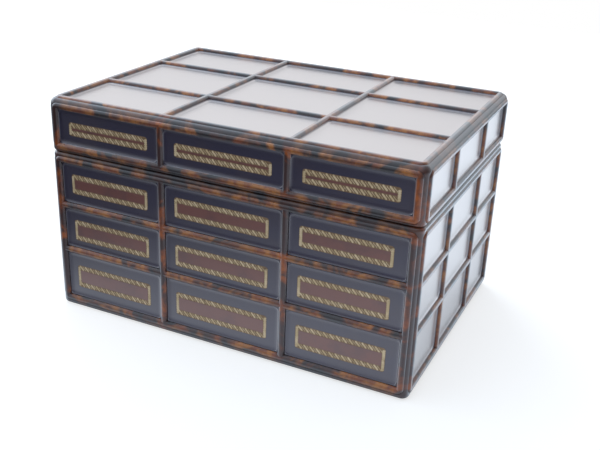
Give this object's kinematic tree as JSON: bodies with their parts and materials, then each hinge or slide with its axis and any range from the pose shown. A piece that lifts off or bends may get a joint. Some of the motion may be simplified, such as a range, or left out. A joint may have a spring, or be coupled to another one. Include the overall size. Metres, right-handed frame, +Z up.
{
  "type": "mahjong case with drawers",
  "caption": "Rectangular wooden case with a hinged lid and small drawers that slide out of the front, its walls a grid of coved leather panels between half-round tortoiseshell beads.",
  "frame": {"origin": "under the middle of the case, in the plane of the table it stands on", "axes": "+X to the right of someone who faces the drawers, +Y from the front to the hinges, +Z up"},
  "size_m": [0.35, 0.247, 0.2034],
  "materials": {
    "tortoiseshell_lacquer": "wood beads in a glossy faux tortoiseshell lacquer, amber patches on dark brown",
    "dark_leather": "blue-black leather, polished",
    "tooled_leather": "blue-black leather with a burgundy field and a gold-tooled rope border",
    "case_wood": "stained brown, satin",
    "drawer_wood": "pale brown wood, satin wax",
    "lining_felt": "burgundy felt",
    "base_felt": "black felt",
    "hinge_brass": "aged brass, satin"
  },
  "bodies": {
    "case": {"base_felt": "base_felt", "base_board": "case_wood", "case_corner_posts": "tortoiseshell_lacquer", "case_bottom_rails": "tortoiseshell_lacquer", "case_top_rails": "tortoiseshell_lacquer", "case_left_board": "case_wood", "case_right_board": "case_wood", "case_back_board": "case_wood", "case_wall_panels": "dark_leather", "case_wall_beads": "tortoiseshell_lacquer", "front_beads": "tortoiseshell_lacquer", "partitions": "case_wood", "drawer_shelves": "case_wood", "drawer_stops": "case_wood", "deck_board": "case_wood", "deck_lining": "lining_felt", "locating_lip": "case_wood", "hinge_case_leaves": "hinge_brass", "hinge_case_screws": "hinge_brass", "hinge_pins": "hinge_brass"},
    "lid": {"lid_corner_posts": "tortoiseshell_lacquer", "lid_bottom_rails": "tortoiseshell_lacquer", "lid_top_rails": "tortoiseshell_lacquer", "lid_wall_boards": "case_wood", "lid_wall_panels": "dark_leather", "lid_wall_beads": "tortoiseshell_lacquer", "lid_top_board": "case_wood", "lid_top_panels": "dark_leather", "lid_top_beads": "tortoiseshell_lacquer", "lid_lining": "lining_felt", "hinge_lid_leaves": "hinge_brass", "hinge_lid_screws": "hinge_brass"},
    "drawer_r1c1": {"drawer_r1c1_face": "tooled_leather", "drawer_r1c1_box": "drawer_wood", "drawer_r1c1_bottom": "drawer_wood"},
    "drawer_r1c2": {"drawer_r1c2_face": "tooled_leather", "drawer_r1c2_box": "drawer_wood", "drawer_r1c2_bottom": "drawer_wood"},
    "drawer_r1c3": {"drawer_r1c3_face": "tooled_leather", "drawer_r1c3_box": "drawer_wood", "drawer_r1c3_bottom": "drawer_wood"},
    "drawer_r2c1": {"drawer_r2c1_face": "tooled_leather", "drawer_r2c1_box": "drawer_wood", "drawer_r2c1_bottom": "drawer_wood"},
    "drawer_r2c2": {"drawer_r2c2_face": "tooled_leather", "drawer_r2c2_box": "drawer_wood", "drawer_r2c2_bottom": "drawer_wood"},
    "drawer_r2c3": {"drawer_r2c3_face": "tooled_leather", "drawer_r2c3_box": "drawer_wood", "drawer_r2c3_bottom": "drawer_wood"},
    "drawer_r3c1": {"drawer_r3c1_face": "tooled_leather", "drawer_r3c1_box": "drawer_wood", "drawer_r3c1_bottom": "drawer_wood"},
    "drawer_r3c2": {"drawer_r3c2_face": "tooled_leather", "drawer_r3c2_box": "drawer_wood", "drawer_r3c2_bottom": "drawer_wood"},
    "drawer_r3c3": {"drawer_r3c3_face": "tooled_leather", "drawer_r3c3_box": "drawer_wood", "drawer_r3c3_bottom": "drawer_wood"}
  },
  "joints": [
    {"name": "lid_hinge", "type": "hinge", "parent": "case", "child": "lid", "pos_m": [0, 0.1215, 0.1534], "axis": [-1, 0, 0], "range_deg": [0, 95]},
    {"name": "drawer_r1c1_slide", "type": "slide", "parent": "case", "child": "drawer_r1c1", "axis": [0, -1, 0], "range_m": [0, 0.15]},
    {"name": "drawer_r1c2_slide", "type": "slide", "parent": "case", "child": "drawer_r1c2", "axis": [0, -1, 0], "range_m": [0, 0.15]},
    {"name": "drawer_r1c3_slide", "type": "slide", "parent": "case", "child": "drawer_r1c3", "axis": [0, -1, 0], "range_m": [0, 0.15]},
    {"name": "drawer_r2c1_slide", "type": "slide", "parent": "case", "child": "drawer_r2c1", "axis": [0, -1, 0], "range_m": [0, 0.15]},
    {"name": "drawer_r2c2_slide", "type": "slide", "parent": "case", "child": "drawer_r2c2", "axis": [0, -1, 0], "range_m": [0, 0.15]},
    {"name": "drawer_r2c3_slide", "type": "slide", "parent": "case", "child": "drawer_r2c3", "axis": [0, -1, 0], "range_m": [0, 0.15]},
    {"name": "drawer_r3c1_slide", "type": "slide", "parent": "case", "child": "drawer_r3c1", "axis": [0, -1, 0], "range_m": [0, 0.15]},
    {"name": "drawer_r3c2_slide", "type": "slide", "parent": "case", "child": "drawer_r3c2", "axis": [0, -1, 0], "range_m": [0, 0.15]},
    {"name": "drawer_r3c3_slide", "type": "slide", "parent": "case", "child": "drawer_r3c3", "axis": [0, -1, 0], "range_m": [0, 0.15]}
  ]
}
